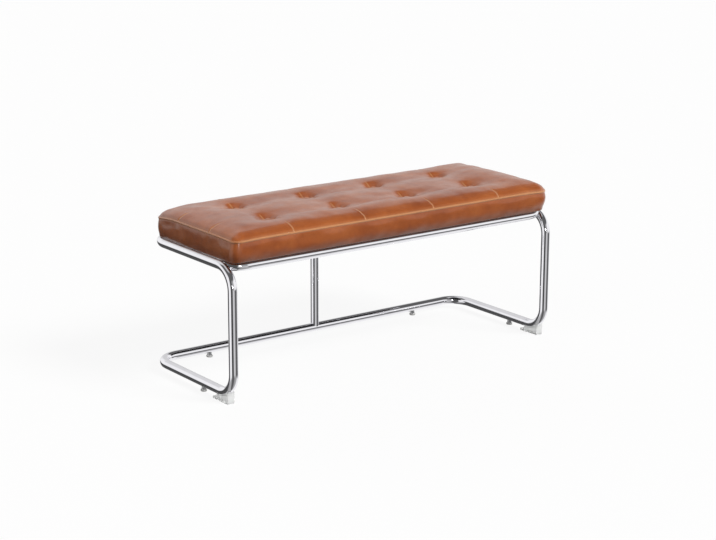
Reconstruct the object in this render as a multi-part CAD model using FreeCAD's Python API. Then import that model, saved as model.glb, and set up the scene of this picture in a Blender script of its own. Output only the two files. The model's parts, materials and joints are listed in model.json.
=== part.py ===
"""Upholstered bench: a tufted leather seat pad on a plug-together frame of bent chrome tube.

Millimetres. X runs along the bench, Y from front to back, Z up.
The origin is on the floor, under the middle of the frame.
"""
import FreeCAD, Part
import math
import os

Vec = FreeCAD.Vector
UP = Vec(0, 0, 1)

# Frame tubes
TUBE_DIAMETER = 25.0
TUBE_WALL = 1.5
BEND_RADIUS = 60.0          # to the centre line
LEG_SPACING = 1061.0        # between the leg centre lines, along X
FRAME_DEPTH = 394.0         # leg centre line to rear rail centre line, along Y
FLOOR_CLEARANCE = 12.5      # floor to the underside of the floor rails
RAIL_RISE = 338.0           # floor rail centre line to seat rail centre line
FRONT_RAIL_SETBACK = 12.0   # front seat rail behind the leg centre line
COPE_TURN = 18.0            # degrees of a corner bend that its welded end leaves out
CORNER_TURN = 90.0          # degrees from the side rail round to the front rail
STRUT_DIAMETER = 24.0

# Plug joints between the tubes
SPIGOT_LENGTH = 70.0
SPIGOT_WALL = 2.0
SPIGOT_CLEARANCE = 0.1      # all round, inside the tube
JOINT_SETBACK = 40.0        # joint line from the end of the nearest bend
JOINT_SCREW_PITCH = 40.0    # between the two screws of one joint
JOINT_SCREW_DIAMETER = 5.0
JOINT_SCREW_HEAD = 8.0
JOINT_SCREW_SINK = 1.0      # depth of the countersunk cone
JOINT_SCREW_RECESS = 0.3    # head's rim below the tube's surface
JOINT_SCREW_TIP = 1.0       # reach past the spigot's wall

# Strut fixings
STRUT_PLUG_LENGTH = 25.0
STRUT_PLUG_INSET = 4.0      # plug face from the rail's surface
STRUT_BOLT_DIAMETER = 8.0
STRUT_BOLT_HEAD = 13.0
STRUT_BOLT_HEAD_HEIGHT = 8.0
STRUT_BOLT_ENGAGEMENT = 18.0
BOLT_HOLE_CLEARANCE = 0.2   # all round
ACCESS_HOLE_DIAMETER = 15.0

# Seat fixings
TAB_WIDTH = 30.0
TAB_REACH = 38.0            # from the rail's centre line inwards
TAB_ROOT = 6.0              # where the tab leaves the rail's shoulder
TAB_THICKNESS = 3.0
TAB_HOLE_REACH = 26.0
TAB_SPAN = 600.0            # between the two tabs of one long rail
SEAT_BOLT_DIAMETER = 6.0
SEAT_BOLT_HEAD = 10.5
SEAT_BOLT_HEAD_HEIGHT = 3.5
WASHER_DIAMETER = 14.0
WASHER_THICKNESS = 1.6
TEE_NUT_FLANGE = 19.0
TEE_NUT_FLANGE_THICKNESS = 1.5
TEE_NUT_BARREL = 8.0
TEE_NUT_LENGTH = 10.0       # barrel below the flange

# Feet and glides
FOOT_LENGTH = 73.0
FOOT_WIDTH = 22.0
FOOT_FRONT_SETBACK = 14.0   # foot's front face behind the leg centre line
FOOT_TIP_HEIGHT = 5.0
FOOT_TIP_SLOPE = 18.0       # length of the slope from the tip to the rail
FOOT_ROUND = 1.5
STUD_DIAMETER = 7.0
STUD_REACH = 3.0            # past the inside of the tube's wall
FOOT_STUD_SETBACK = 32.0    # from the foot's rear tip
GLIDE_DIAMETER = 18.0
GLIDE_HEIGHT = 6.0
GLIDE_ROUND = 2.0
GLIDE_COLLAR = 12.0
GLIDE_SOCKET = 3.0          # depth of the stud in the glide
REAR_GLIDE_INSET = 171.5    # rear glides inside the leg centre lines
SIDE_GLIDE_SETBACK = 147.0  # behind the leg centre line

# Seat pad
PAD_END_INSET = 2.5         # pad's ends inside the leg centre lines
PAD_FRONT_OVERHANG = 10.0   # pad's front before the leg centre line
PAD_REAR_INSET = 4.0        # pad's rear inside the rear rail's centre line
PAD_CORNER_RADIUS = 26.0
BAND_HEIGHT = 60.5          # seat rail's top to the border seam
BAND_DRAW_IN = 7.0          # band's lower edge inside the border
BAND_STEPS = 4              # flats that round the band from its lower edge to the border
LEATHER = 1.4
BOARD_THICKNESS = 12.0
BOARD_GAP = 0.3             # board's edge to the leather
HEM_WIDTH = 24.0
DUST_COVER_THICKNESS = 0.6
DUST_COVER_INSET = 12.0     # from the pad's lower edge
WELT_DIAMETER = 5.0

# Crown, sewn seams and tufts
CROWN_RISE = 21.0           # border seam to the top of the pillows
EDGE_LIFT = 2.2             # upright rim of the top cover above the border
SHOULDER_WIDTH = 28.0
SHOULDER_HEIGHT = 16.0      # climbed by the shoulder, of the crown's rise
SHOULDER_KNEE = 8.0         # where the shoulder is half way up, from the border
SHOULDER_STEPS = 4          # sections that round each end of the crown
FLAT_SHARE = 0.05           # least crown of the section at the very end
SEAM_DIP = 2.6              # depth of a sewn seam between two pillows
TUFT_COLUMNS = 4
TUFT_END_PANEL = 183.0      # pad's end to the nearest tufts
TUFT_SIDE_PANEL = 124.0     # pad's front or rear to the nearest tufts
TUFT_DEPTH = 14.0
BUTTON_DIAMETER = 21.0
BUTTON_EDGE = 2.0
BUTTON_HEIGHT = 7.0
TIE_DIAMETER = 2.4
TIE_KNOT_DIAMETER = 5.0
TIE_KNOT_HEIGHT = 1.0
TIE_HOLE_DIAMETER = 6.0     # through the board
TUFT_WASHER_DIAMETER = 18.0
TUFT_WASHER_THICKNESS = 2.0
TUFT_WASHER_CLEARANCE = 0.5

# Places that follow from the sizes above
TUBE_RADIUS = TUBE_DIAMETER / 2
BORE_RADIUS = TUBE_RADIUS - TUBE_WALL
LEG_X = LEG_SPACING / 2
LEG_Y = -FRAME_DEPTH / 2
REAR_Y = FRAME_DEPTH / 2
FRONT_RAIL_Y = LEG_Y + FRONT_RAIL_SETBACK
FLOOR_Z = FLOOR_CLEARANCE + TUBE_RADIUS
SEAT_Z = FLOOR_Z + RAIL_RISE
RAIL_TOP = SEAT_Z + TUBE_RADIUS
SIDE_JOINT_Y = REAR_Y - BEND_RADIUS - JOINT_SETBACK
FRONT_JOINT_X = LEG_X - BEND_RADIUS - JOINT_SETBACK
HEM_Z = RAIL_TOP + DUST_COVER_THICKNESS
BOARD_Z = HEM_Z + LEATHER
BOARD_TOP = BOARD_Z + BOARD_THICKNESS
BORDER_Z = RAIL_TOP + BAND_HEIGHT
PAD_END = LEG_X - PAD_END_INSET
PAD_FRONT = LEG_Y - PAD_FRONT_OVERHANG
PAD_BACK = REAR_Y - PAD_REAR_INSET
TUFT_PITCH = 2 * (PAD_END - TUFT_END_PANEL) / (TUFT_COLUMNS - 1)
TUFT_ROWS = (PAD_FRONT + TUFT_SIDE_PANEL, PAD_BACK - TUFT_SIDE_PANEL)
TUFT_RIM_Z = BORDER_Z + CROWN_RISE - 2 * SEAM_DIP
TUFT_FLOOR_Z = TUFT_RIM_Z - TUFT_DEPTH
SIDES = {"left": -1, "right": 1}


def rod(path, radius):
    """A round bar along a wire."""
    first = path.Edges[0]
    start = first.firstVertex(True).Point
    heading = first.tangentAt(first.getParameterByLength(0))
    section = Part.Wire(Part.Circle(start, heading, radius).toShape())
    return path.makePipeShell([section], True, False)


def bent_path(corners, radius):
    """Straight runs through the corners, joined by tangent quarter bends."""
    edges = []
    start = corners[0]
    for before, corner, after in zip(corners, corners[1:], corners[2:]):
        back = (before - corner).normalize()
        ahead = (after - corner).normalize()
        bend_in = corner + back * radius
        bend_out = corner + ahead * radius
        middle = corner + (back + ahead) * radius * (1 - math.sqrt(0.5))
        edges.append(Part.LineSegment(start, bend_in).toShape())
        edges.append(Part.Arc(bend_in, middle, bend_out).toShape())
        start = bend_out
    edges.append(Part.LineSegment(start, corners[-1]).toShape())
    return Part.Wire(edges)


def cylinder(diameter, base, tip):
    axis = tip - base
    return Part.makeCylinder(diameter / 2, axis.Length, base, axis)


def turned(points, place):
    """Solid of revolution about Z through (radius, height) points; a pair of them ends an arc."""
    edges = []
    last = None
    for point in points:
        if isinstance(point[0], tuple):
            middle, end = (Vec(r, 0, z) for r, z in point)
            edges.append(Part.Arc(last, middle, end).toShape())
        else:
            end = Vec(point[0], 0, point[1])
            if last is not None:
                edges.append(Part.LineSegment(last, end).toShape())
        last = end
    edges.append(Part.LineSegment(last, edges[0].firstVertex(True).Point).toShape())
    solid = Part.Face(Part.Wire(edges)).revolve(Vec(), UP, 360)
    solid.translate(place)
    return solid


def drilled(shape, tools):
    """The shape with every tool that reaches it cut out, one after another."""
    for tool in tools:
        if shape.BoundBox.intersect(tool.BoundBox):
            shape = shape.cut(tool)
    return shape


# Frame

def side_path(side):
    x = side * LEG_X
    corners = [
        Vec(x, SIDE_JOINT_Y, SEAT_Z),
        Vec(x, LEG_Y, SEAT_Z),
        Vec(x, LEG_Y, FLOOR_Z),
        Vec(x, SIDE_JOINT_Y, FLOOR_Z),
    ]
    return bent_path(corners, BEND_RADIUS)


def rear_path(height):
    corners = [
        Vec(-LEG_X, SIDE_JOINT_Y, height),
        Vec(-LEG_X, REAR_Y, height),
        Vec(LEG_X, REAR_Y, height),
        Vec(LEG_X, SIDE_JOINT_Y, height),
    ]
    return bent_path(corners, BEND_RADIUS)


def corner_path(side):
    """Bend of the front corner, from its coped end to the plug joint of the front rail."""
    centre = Vec(side * (LEG_X - BEND_RADIUS), FRONT_RAIL_Y + BEND_RADIUS, SEAT_Z)

    def on_bend(turn):
        angle = math.radians(turn)
        return centre + Vec(side * math.cos(angle), -math.sin(angle), 0) * BEND_RADIUS

    bend_end = on_bend(CORNER_TURN)
    bend = Part.Arc(on_bend(COPE_TURN), on_bend((COPE_TURN + CORNER_TURN) / 2), bend_end)
    run = Part.LineSegment(bend_end, Vec(side * FRONT_JOINT_X, FRONT_RAIL_Y, SEAT_Z))
    return Part.Wire([bend.toShape(), run.toShape()])


def pipe(path):
    return rod(path, TUBE_RADIUS).cut(rod(path, BORE_RADIUS))


def straight(start, end):
    return Part.Wire(Part.LineSegment(start, end).toShape())


def joints():
    """Middle of each plug joint and the direction that its tubes run in."""
    places = {}
    for name, side in SIDES.items():
        places[f"{name}_front"] = (Vec(side * FRONT_JOINT_X, FRONT_RAIL_Y, SEAT_Z), Vec(1, 0, 0))
        places[f"{name}_rear"] = (Vec(side * LEG_X, SIDE_JOINT_Y, SEAT_Z), Vec(0, 1, 0))
        places[f"{name}_floor"] = (Vec(side * LEG_X, SIDE_JOINT_Y, FLOOR_Z), Vec(0, 1, 0))
    return places


def spigot(middle, along):
    half = along * SPIGOT_LENGTH / 2
    outer = (BORE_RADIUS - SPIGOT_CLEARANCE) * 2
    sleeve = cylinder(outer, middle - half, middle + half)
    return sleeve.cut(cylinder(outer - 2 * SPIGOT_WALL, middle - half, middle + half))


def joint_screw(place, mouth=0):
    """Countersunk screw driven upwards, with room below its head; place is on the centre line."""
    head = JOINT_SCREW_HEAD / 2
    shank = JOINT_SCREW_DIAMETER / 2
    face = JOINT_SCREW_RECESS - math.sqrt(TUBE_RADIUS ** 2 - head ** 2)
    tip = -(BORE_RADIUS - SPIGOT_CLEARANCE - SPIGOT_WALL - JOINT_SCREW_TIP)
    outline = [
        (0, face - mouth),
        (head, face - mouth),
        (head, face),
        (shank, face + JOINT_SCREW_SINK),
        (shank, tip),
        (0, tip),
    ]
    if not mouth:
        del outline[2]
    return turned(outline, place)


def joint_screw_places():
    places = []
    for middle, along in joints().values():
        for way in (-1, 1):
            places.append(middle + along * way * JOINT_SCREW_PITCH / 2)
    return places


def strut_ends():
    """Each end's rail centre and the direction from there into the strut."""
    return [(Vec(0, REAR_Y, FLOOR_Z), UP), (Vec(0, REAR_Y, SEAT_Z), -UP)]


def strut():
    low = Vec(0, REAR_Y, FLOOR_Z)
    high = Vec(0, REAR_Y, SEAT_Z)
    tube = cylinder(STRUT_DIAMETER, low, high)
    tube = tube.cut(cylinder(STRUT_DIAMETER - 2 * TUBE_WALL, low, high))
    reach = Vec(STRUT_DIAMETER, 0, 0)
    for rail in (low, high):
        tube = tube.cut(rod(straight(rail - reach, rail + reach), TUBE_RADIUS))
    return tube


def strut_bolt(rail, inward):
    """Socket bolt whose head bears on the inside of the rail's wall."""
    seat = math.sqrt(BORE_RADIUS ** 2 - (STRUT_BOLT_HEAD / 2) ** 2)
    tip = TUBE_RADIUS + STRUT_PLUG_INSET + STRUT_BOLT_ENGAGEMENT
    under_head = rail + inward * seat
    head = cylinder(STRUT_BOLT_HEAD, under_head - inward * STRUT_BOLT_HEAD_HEIGHT, under_head)
    shank = cylinder(STRUT_BOLT_DIAMETER, under_head, rail + inward * tip)
    return head.fuse(shank).removeSplitter()


def strut_plug(rail, inward):
    near = TUBE_RADIUS + STRUT_PLUG_INSET
    base = rail + inward * near
    tip = base + inward * STRUT_PLUG_LENGTH
    plug = cylinder(STRUT_DIAMETER - 2 * TUBE_WALL, base, tip)
    return plug.cut(cylinder(STRUT_BOLT_DIAMETER, base, base + inward * STRUT_BOLT_ENGAGEMENT))


def strut_holes():
    """Bolt hole in the rail's wall by the strut, and the access hole opposite."""
    bolt_room = STRUT_BOLT_DIAMETER + 2 * BOLT_HOLE_CLEARANCE
    holes = []
    for rail, inward in strut_ends():
        holes.append(cylinder(bolt_room, rail, rail + inward * TUBE_DIAMETER))
        holes.append(cylinder(ACCESS_HOLE_DIAMETER, rail - inward * TUBE_DIAMETER, rail))
    return holes


# Seat fixings

def tab_places():
    """Rail centre at each tab, and the inward direction."""
    places = []
    for way in (-1, 1):
        x = way * TAB_SPAN / 2
        places.append((Vec(x, FRONT_RAIL_Y, SEAT_Z), Vec(0, 1, 0)))
        places.append((Vec(x, REAR_Y, SEAT_Z), Vec(0, -1, 0)))
        places.append((Vec(way * LEG_X, 0, SEAT_Z), Vec(-way, 0, 0)))
    return places


def tab_hole(rail, inward):
    return Vec(rail.x, rail.y, 0) + inward * TAB_HOLE_REACH


def seat_tab(rail, inward):
    along = inward.cross(UP)
    low = RAIL_TOP - TAB_THICKNESS
    corner = Vec(rail.x, rail.y, low) + inward * TAB_ROOT - along * TAB_WIDTH / 2
    outline = [
        corner,
        corner + along * TAB_WIDTH,
        corner + along * TAB_WIDTH + inward * (TAB_REACH - TAB_ROOT),
        corner + inward * (TAB_REACH - TAB_ROOT),
    ]
    plate = Part.Face(Part.makePolygon(outline + [corner])).extrude(UP * TAB_THICKNESS)
    beam = rod(straight(rail - along * TAB_WIDTH, rail + along * TAB_WIDTH), TUBE_RADIUS)
    bolt_room = SEAT_BOLT_DIAMETER + 2 * BOLT_HOLE_CLEARANCE
    foot = tab_hole(rail, inward) + UP * low
    return plate.cut(beam).cut(cylinder(bolt_room, foot, foot + UP * TAB_THICKNESS))


def seat_washer(rail, inward):
    low = tab_hole(rail, inward) + UP * (RAIL_TOP - TAB_THICKNESS - WASHER_THICKNESS)
    top = low + UP * WASHER_THICKNESS
    bolt_room = SEAT_BOLT_DIAMETER + 2 * BOLT_HOLE_CLEARANCE
    return cylinder(WASHER_DIAMETER, low, top).cut(cylinder(bolt_room, low, top))


def seat_bolt(rail, inward):
    under_head = tab_hole(rail, inward) + UP * (RAIL_TOP - TAB_THICKNESS - WASHER_THICKNESS)
    head = cylinder(SEAT_BOLT_HEAD, under_head - UP * SEAT_BOLT_HEAD_HEIGHT, under_head)
    top = Vec(under_head.x, under_head.y, BOARD_TOP)
    return head.fuse(cylinder(SEAT_BOLT_DIAMETER, under_head, top)).removeSplitter()


def tee_nut(rail, inward):
    centre = tab_hole(rail, inward) + UP * BOARD_TOP
    flange = cylinder(TEE_NUT_FLANGE, centre, centre + UP * TEE_NUT_FLANGE_THICKNESS)
    barrel = cylinder(TEE_NUT_BARREL, centre - UP * TEE_NUT_LENGTH, centre)
    bore = cylinder(SEAT_BOLT_DIAMETER, centre - UP * TEE_NUT_LENGTH, centre)
    return flange.fuse(barrel).removeSplitter().cut(bore)


# Feet and glides

def front_foot(side):
    """Wedge under a leg's lower bend, saddled to the tube and held by its own stud."""
    x = side * LEG_X
    front = LEG_Y + FOOT_FRONT_SETBACK
    tip = front + FOOT_LENGTH
    bend_start = LEG_Y + BEND_RADIUS
    outline = [
        Vec(x, front, 0),
        Vec(x, front, FLOOR_Z + TUBE_RADIUS),
        Vec(x, bend_start, FLOOR_Z),
        Vec(x, tip - FOOT_TIP_SLOPE, FLOOR_CLEARANCE),
        Vec(x, tip, FOOT_TIP_HEIGHT),
        Vec(x, tip, 0),
    ]
    wedge = Part.Face(Part.makePolygon(outline + outline[:1])).extrude(Vec(FOOT_WIDTH, 0, 0))
    wedge.translate(Vec(-FOOT_WIDTH / 2, 0, 0))
    corners = [e for e in wedge.Edges if e.BoundBox.XLength + e.BoundBox.YLength < FOOT_ROUND]
    wedge = wedge.makeFillet(FOOT_ROUND, corners)
    wedge = wedge.cut(rod(side_path(side), TUBE_RADIUS))
    return wedge.fuse(foot_stud(side)).removeSplitter()


def foot_stud(side):
    y = LEG_Y + FOOT_FRONT_SETBACK + FOOT_LENGTH - FOOT_STUD_SETBACK
    low = Vec(side * LEG_X, y, FLOOR_CLEARANCE / 2)
    return cylinder(STUD_DIAMETER, low, Vec(low.x, y, FLOOR_CLEARANCE + TUBE_WALL + STUD_REACH))


def glide_places():
    places = {}
    for name, side in SIDES.items():
        places[f"{name}_floor_glide"] = Vec(side * LEG_X, LEG_Y + SIDE_GLIDE_SETBACK, 0)
        places[f"rear_{name}_glide"] = Vec(side * (LEG_X - REAR_GLIDE_INSET), REAR_Y, 0)
    return places


def glide(place):
    radius = GLIDE_DIAMETER / 2
    flat = radius - GLIDE_ROUND
    bevel = GLIDE_ROUND * math.sqrt(0.5)
    outline = [
        (0, 0),
        (flat, 0),
        ((flat + bevel, GLIDE_ROUND - bevel), (radius, GLIDE_ROUND)),
        (radius, GLIDE_HEIGHT - GLIDE_ROUND),
        ((flat + bevel, GLIDE_HEIGHT - GLIDE_ROUND + bevel), (flat, GLIDE_HEIGHT)),
        (0, GLIDE_HEIGHT),
    ]
    socket = place + UP * (GLIDE_HEIGHT - GLIDE_SOCKET)
    return turned(outline, place).cut(cylinder(STUD_DIAMETER, socket, place + UP * GLIDE_HEIGHT))


def stud_shank(place):
    low = place + UP * (GLIDE_HEIGHT - GLIDE_SOCKET)
    return cylinder(STUD_DIAMETER, low, place + UP * (FLOOR_CLEARANCE + TUBE_WALL + STUD_REACH))


def glide_stud(place, rail):
    """Steel stud pressed into the rail, with a collar saddled to the tube."""
    collar = cylinder(GLIDE_COLLAR, place + UP * GLIDE_HEIGHT, place + UP * FLOOR_Z).cut(rail)
    return collar.fuse(stud_shank(place)).removeSplitter()


# Seat pad

def pad_outline(inset, height):
    """Rounded rectangle around the pad, drawn in by inset."""
    x = PAD_END - inset
    front = PAD_FRONT + inset
    back = PAD_BACK - inset
    r = PAD_CORNER_RADIUS - inset / 2
    k = r * (1 - math.sqrt(0.5))
    corners = [
        (Vec(x, front + r, height), Vec(x - k, front + k, height), Vec(x - r, front, height)),
        (Vec(-x + r, front, height), Vec(-x + k, front + k, height), Vec(-x, front + r, height)),
        (Vec(-x, back - r, height), Vec(-x + k, back - k, height), Vec(-x + r, back, height)),
        (Vec(x - r, back, height), Vec(x - k, back - k, height), Vec(x, back - r, height)),
    ]
    edges = []
    for (start, middle, end), following in zip(corners, corners[1:] + corners[:1]):
        edges.append(Part.Arc(start, middle, end).toShape())
        edges.append(Part.LineSegment(end, following[0]).toShape())
    return Part.Wire(edges)


def slab(inset, low, high):
    return Part.Face(pad_outline(inset, low)).extrude(UP * (high - low))


def band_form(inset):
    """Body of the pad below the border, drawn in towards its lower edge along a quarter round."""
    sections = []
    for step in range(BAND_STEPS + 1):
        fall = step / BAND_STEPS
        draw_in = BAND_DRAW_IN * (1 - math.cos(fall * math.pi / 2))
        sections.append(pad_outline(draw_in + inset, BORDER_Z - (BORDER_Z - HEM_Z) * fall))
    return Part.makeLoft(sections, True, True)


def shoulder_arc():
    """Rise of the crown from the border, as distance inwards and height above the rim."""
    knee = Vec(SHOULDER_KNEE, SHOULDER_HEIGHT / 2)
    return Part.Arc(Vec(), knee, Vec(SHOULDER_WIDTH, SHOULDER_HEIGHT))


def pillow_section(x, share, dip, inset):
    """Cross-section of the crown at x: two shoulders and three pillows between sewn seams."""
    curve = max(PAD_CORNER_RADIUS - (PAD_END - abs(x)), 0)
    corner = PAD_CORNER_RADIUS - math.sqrt(PAD_CORNER_RADIUS ** 2 - curve ** 2)
    front = PAD_FRONT + corner + inset
    back = PAD_BACK - corner - inset
    rim = BORDER_Z + EDGE_LIFT - inset
    top = rim + (CROWN_RISE - EDGE_LIFT - dip) * share
    shoulder = rim + (SHOULDER_HEIGHT - dip) * share
    knee = (rim + shoulder) / 2
    seam = top - SEAM_DIP * share
    inner = [front + SHOULDER_WIDTH, back - SHOULDER_WIDTH]
    knots = [
        (front, rim),
        (inner[0], shoulder),
        (TUFT_ROWS[0], seam),
        (TUFT_ROWS[1], seam),
        (inner[1], shoulder),
        (back, rim),
    ]
    crests = [
        (front + SHOULDER_KNEE, knee),
        ((inner[0] + TUFT_ROWS[0]) / 2, top),
        ((TUFT_ROWS[0] + TUFT_ROWS[1]) / 2, top),
        ((TUFT_ROWS[1] + inner[1]) / 2, top),
        (back - SHOULDER_KNEE, knee),
    ]
    edges = [Part.LineSegment(Vec(x, front, BORDER_Z), Vec(x, front, rim)).toShape()]
    for (y0, z0), (ym, zm), (y1, z1) in zip(knots, crests, knots[1:]):
        edges.append(Part.Arc(Vec(x, y0, z0), Vec(x, ym, zm), Vec(x, y1, z1)).toShape())
    edges.append(Part.LineSegment(Vec(x, back, rim), Vec(x, back, BORDER_Z)).toShape())
    edges.append(Part.LineSegment(Vec(x, back, BORDER_Z), Vec(x, front, BORDER_Z)).toShape())
    return Part.Wire(edges)


def tuft_columns():
    middle = (TUFT_COLUMNS - 1) / 2
    return [(column - middle) * TUFT_PITCH for column in range(TUFT_COLUMNS)]


def tuft_places():
    return [Vec(x, y, 0) for x in tuft_columns() for y in TUFT_ROWS]


def crown_form(inset):
    """Crown of the pad: a lofted panel between each two cross seams, and a rounded one at each end."""
    columns = tuft_columns()
    panels = []
    for start, end in zip(columns, columns[1:]):
        stations = [(start, SEAM_DIP), ((start + end) / 2, 0), (end, SEAM_DIP)]
        panels.append([pillow_section(x, 1, dip, inset) for x, dip in stations])
    rim = PAD_END - inset
    seam = columns[-1]
    climb = CROWN_RISE - EDGE_LIFT
    rise = shoulder_arc()
    rounding = []
    for point in rise.toShape().discretize(SHOULDER_STEPS + 1):
        rounding.append((rim - point.x, max(point.y / climb, FLAT_SHARE)))
    inner_end, inner_share = rounding[-1]
    for way in (-1, 1):
        panels.append([
            pillow_section(way * seam, 1, SEAM_DIP, inset),
            pillow_section(way * (seam + inner_end) / 2, 1, 0, inset),
            pillow_section(way * inner_end, inner_share, 0, inset),
        ])
        panels.append([pillow_section(way * x, share, 0, inset) for x, share in rounding])
    lofts = [Part.makeLoft(sections, True, False) for sections in panels]
    return lofts[0].multiFuse(lofts[1:]).removeSplitter()


def tuft_hollow(place, skin):
    """Room of a pulled tuft, with a rim that rolls over into the pillows."""
    button = BUTTON_DIAMETER / 2
    rim = button + TUFT_DEPTH
    roll = TUFT_DEPTH - skin
    k = roll * math.sqrt(0.5)
    outline = [
        (0, TUFT_FLOOR_Z - skin),
        (button + skin, TUFT_FLOOR_Z - skin),
        (button + skin, TUFT_FLOOR_Z),
        ((rim - k, TUFT_FLOOR_Z + k), (rim, TUFT_FLOOR_Z + roll)),
        (rim, TUFT_RIM_Z + CROWN_RISE),
        (0, TUFT_RIM_Z + CROWN_RISE),
    ]
    if not skin:
        del outline[2]
    return turned(outline, place)


def welt():
    path = pad_outline(0, BORDER_Z)
    return rod(path, WELT_DIAMETER / 2)


def tuft_button(place):
    radius = BUTTON_DIAMETER / 2
    rise = BUTTON_HEIGHT - BUTTON_EDGE
    ball = (radius ** 2 + rise ** 2) / (2 * rise)
    top = TUFT_FLOOR_Z + BUTTON_HEIGHT
    halfway = top - ball + math.sqrt(ball ** 2 - (radius / 2) ** 2)
    outline = [
        (0, TUFT_FLOOR_Z),
        (radius, TUFT_FLOOR_Z),
        (radius, TUFT_FLOOR_Z + BUTTON_EDGE),
        ((radius / 2, halfway), (0, top)),
    ]
    return turned(outline, place)


def tuft_tie(place):
    """Twine from the button to a knot under the washer."""
    line = cylinder(TIE_DIAMETER, place + UP * BOARD_Z, place + UP * TUFT_FLOOR_Z)
    knot = cylinder(TIE_KNOT_DIAMETER, place + UP * BOARD_Z, place + UP * (BOARD_Z + TIE_KNOT_HEIGHT))
    return line.fuse(knot).removeSplitter()


def tuft_washer(place):
    low = place + UP * (BOARD_Z + TIE_KNOT_HEIGHT)
    top = low + UP * TUFT_WASHER_THICKNESS
    return cylinder(TUFT_WASHER_DIAMETER, low, top).cut(cylinder(TIE_DIAMETER, low, top))


def washer_pocket(place):
    depth = TIE_KNOT_HEIGHT + TUFT_WASHER_THICKNESS
    return cylinder(
        TUFT_WASHER_DIAMETER + 2 * TUFT_WASHER_CLEARANCE,
        place + UP * BOARD_Z,
        place + UP * (BOARD_Z + depth),
    )


def upright_holes(diameter, places, low, high):
    return [cylinder(diameter, place + UP * low, place + UP * high) for place in places]


def pad_pieces():
    tufts = tuft_places()
    fixings = tab_places()
    ties = [tuft_tie(place) for place in tufts]
    piping = welt()
    filling = drilled(crown_form(LEATHER), [tuft_hollow(place, LEATHER) for place in tufts])
    cover = drilled(crown_form(0), [tuft_hollow(place, 0) for place in tufts])
    cover = drilled(cover, [filling, piping] + ties)

    cavity = band_form(LEATHER).cut(slab(0, HEM_Z, BOARD_Z))
    opening = slab(BAND_DRAW_IN + HEM_WIDTH, HEM_Z, BOARD_Z)
    holes = [tab_hole(*place) for place in fixings]
    band = drilled(band_form(0), [cavity, opening, piping])
    band = drilled(band, upright_holes(TEE_NUT_BARREL, holes, HEM_Z, BOARD_Z))

    board = slab(BAND_DRAW_IN + LEATHER + BOARD_GAP, BOARD_Z, BOARD_TOP)
    board = drilled(board, [washer_pocket(place) for place in tufts])
    board = drilled(board, upright_holes(TIE_HOLE_DIAMETER, tufts, BOARD_Z, BOARD_TOP))
    board = drilled(board, upright_holes(TEE_NUT_BARREL, holes, BOARD_Z, BOARD_TOP))

    nuts = [tee_nut(*place) for place in fixings]
    foam = cavity.cut(slab(0, BOARD_Z, BOARD_TOP)).fuse(filling).removeSplitter()
    foam = drilled(foam, ties + nuts + [piping])

    cloth = slab(BAND_DRAW_IN + DUST_COVER_INSET, RAIL_TOP, HEM_Z)
    cloth = drilled(cloth, upright_holes(TEE_NUT_BARREL, holes, RAIL_TOP, HEM_Z))
    return {
        "top_cover": cover,
        "boxing_band": band,
        "border_welt": piping,
        "foam_core": foam,
        "seat_board": board,
        "dust_cover": cloth,
        "tuft_buttons": Part.Compound([tuft_button(place) for place in tufts]),
        "tuft_ties": Part.Compound(ties),
        "tuft_washers": Part.Compound([tuft_washer(place) for place in tufts]),
        "tee_nuts": Part.Compound(nuts),
    }


def frame_pieces():
    side_rods = {side: rod(side_path(side), TUBE_RADIUS) for side in SIDES.values()}
    screws = [joint_screw(place) for place in joint_screw_places()]
    screw_room = [joint_screw(place, TUBE_RADIUS) for place in joint_screw_places()]
    studs = [stud_shank(place) for place in glide_places().values()]
    studs += [foot_stud(side) for side in SIDES.values()]
    pieces = {}
    for name, side in SIDES.items():
        pieces[f"{name}_side_frame"] = drilled(pipe(side_path(side)), screw_room + studs)
        stub = pipe(corner_path(side)).cut(side_rods[side])
        pieces[f"{name}_corner_stub"] = drilled(stub, screw_room)
        pieces[f"{name}_front_foot"] = front_foot(side)
    front = straight(Vec(-FRONT_JOINT_X, FRONT_RAIL_Y, SEAT_Z), Vec(FRONT_JOINT_X, FRONT_RAIL_Y, SEAT_Z))
    pieces["front_seat_rail"] = drilled(pipe(front), screw_room)
    pieces["rear_seat_rail"] = drilled(pipe(rear_path(SEAT_Z)), screw_room + strut_holes())
    floor_holes = screw_room + studs + strut_holes()
    pieces["rear_floor_rail"] = drilled(pipe(rear_path(FLOOR_Z)), floor_holes)
    for name, (middle, along) in joints().items():
        pieces[f"{name}_spigot"] = drilled(spigot(middle, along), screws)
    pieces["joint_screws"] = Part.Compound(screws)
    pieces["rear_strut"] = strut()
    pieces["strut_bolts"] = Part.Compound([strut_bolt(*end) for end in strut_ends()])
    pieces["strut_plugs"] = Part.Compound([strut_plug(*end) for end in strut_ends()])

    floor_rods = list(side_rods.values()) + [rod(rear_path(FLOOR_Z), TUBE_RADIUS)]
    glide_studs = []
    for name, place in glide_places().items():
        pieces[name] = glide(place)
        glide_studs.append(glide_stud(place, floor_rods))
    pieces["glide_studs"] = Part.Compound(glide_studs)

    fixings = tab_places()
    pieces["seat_tabs"] = Part.Compound([seat_tab(*place) for place in fixings])
    pieces["seat_washers"] = Part.Compound([seat_washer(*place) for place in fixings])
    pieces["seat_bolts"] = Part.Compound([seat_bolt(*place) for place in fixings])
    return pieces


def main():
    os.makedirs("parts", exist_ok=True)
    pieces = frame_pieces()
    pieces.update(pad_pieces())
    for name, shape in pieces.items():
        shape.exportStep(f"parts/{name}.step")
        print(f"{name}: {len(shape.Solids)} solids, {shape.Volume:.0f} mm3, valid {shape.isValid()}")


main()
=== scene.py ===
import json
import math

import bpy
import numpy as np
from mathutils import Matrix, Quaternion, Vector
from mathutils.bvhtree import BVHTree


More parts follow.
